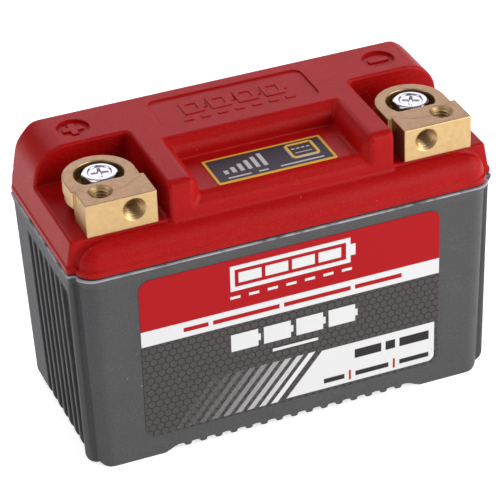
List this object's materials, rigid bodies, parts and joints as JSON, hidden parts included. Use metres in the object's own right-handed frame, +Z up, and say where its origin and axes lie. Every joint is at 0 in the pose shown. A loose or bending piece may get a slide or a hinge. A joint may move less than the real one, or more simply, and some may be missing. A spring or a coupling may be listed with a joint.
{
  "type": "motorcycle battery",
  "caption": "Low rectangular motorcycle battery with a red cover, grey case, brass bolt-on terminals in two pockets and a push-button charge gauge.",
  "frame": {"origin": "underside of the feet, at the middle of the length and the depth", "axes": "+Z up, -Y is the front with the label and the terminals, the positive terminal is at -X"},
  "size_m": [0.134, 0.062, 0.09],
  "materials": {
    "case_plastic": "fine texture",
    "lid_plastic": "fine satin texture",
    "label_film": "printed film",
    "brass": "sawn and brushed",
    "zinc_steel": "bright zinc",
    "nickel_strip": "bright strip",
    "cell_can": "plated can",
    "cell_sleeve": "shrink film",
    "seal_rubber": "matt",
    "foam": "soft foam",
    "holder_plastic": "moulded",
    "overlay_film": "printed film",
    "button_plastic": "printed film",
    "clear_plastic": "clear",
    "white_plastic": "moulded",
    "circuit_board": "solder resist",
    "chip_plastic": "moulded",
    "insulator_paper": "pressed paper",
    "wire_insulation": "soft sheath"
  },
  "bodies": {
    "battery": {"case": "case_plastic", "lid": "lid_plastic", "case_seal": "seal_rubber", "front_label": "label_film", "gauge_overlay": "overlay_film", "tact_switch": "chip_plastic", "gauge_board": "circuit_board", "gauge_leds": "clear_plastic", "light_guides": "clear_plastic", "gauge_board_screws": "zinc_steel", "gauge_leads": "wire_insulation", "cell_insulators": "insulator_paper", "lower_cell_holder": "holder_plastic", "upper_cell_holder": "holder_plastic", "link_1_2": "nickel_strip", "link_2_3": "nickel_strip", "link_3_4": "nickel_strip", "foam_pad_front": "foam", "foam_pad_rear": "foam", "bms_board": "circuit_board", "bms_mosfets": "chip_plastic", "bms_small_parts": "chip_plastic", "bms_board_screws": "zinc_steel", "balance_connector": "white_plastic", "balance_leads": "wire_insulation", "pos_terminal_adapter": "brass", "pos_terminal_post": "brass", "pos_post_seal": "seal_rubber", "pos_post_nut": "brass", "pos_bus_bar": "nickel_strip", "neg_terminal_adapter": "brass", "neg_terminal_post": "brass", "neg_post_seal": "seal_rubber", "neg_post_nut": "brass", "neg_bus_bar": "nickel_strip", "cell_1": "cell_can", "sleeve_1": "cell_sleeve", "cell_2": "cell_can", "sleeve_2": "cell_sleeve", "cell_3": "cell_can", "sleeve_3": "cell_sleeve", "cell_4": "cell_can", "sleeve_4": "cell_sleeve"},
    "button": {"test_button": "button_plastic", "switch_plunger": "white_plastic"},
    "pos_washer": {"pos_screw_washer": "zinc_steel"},
    "pos_screw": {"pos_adapter_screw": "zinc_steel"},
    "neg_washer": {"neg_screw_washer": "zinc_steel"},
    "neg_screw": {"neg_adapter_screw": "zinc_steel"}
  },
  "joints": [
    {"name": "test_button_press", "type": "slide", "parent": "battery", "child": "button", "axis": [0, 0, -1], "range_m": [0, 0.00035], "stiffness_N_per_m": 400, "springref_m": -0.0004},
    {"name": "pos_screw_lift", "type": "slide", "parent": "battery", "child": "pos_washer", "axis": [0, 0, 1], "range_m": [0, 0.0075]},
    {"name": "pos_screw_turn", "type": "hinge", "parent": "pos_washer", "child": "pos_screw", "pos_m": [-0.04955, -0.008, 0.0888], "axis": [0, 0, 1], "range_deg": [0, 2700]},
    {"name": "neg_screw_lift", "type": "slide", "parent": "battery", "child": "neg_washer", "axis": [0, 0, 1], "range_m": [0, 0.0075]},
    {"name": "neg_screw_turn", "type": "hinge", "parent": "neg_washer", "child": "neg_screw", "pos_m": [0.04835, -0.008, 0.0888], "axis": [0, 0, 1], "range_deg": [0, 2700]}
  ],
  "couplings": [
    {"joint": "pos_screw_turn", "follows": "pos_screw_lift", "rad_per_m": 6283.2},
    {"joint": "neg_screw_turn", "follows": "neg_screw_lift", "rad_per_m": 6283.2}
  ]
}
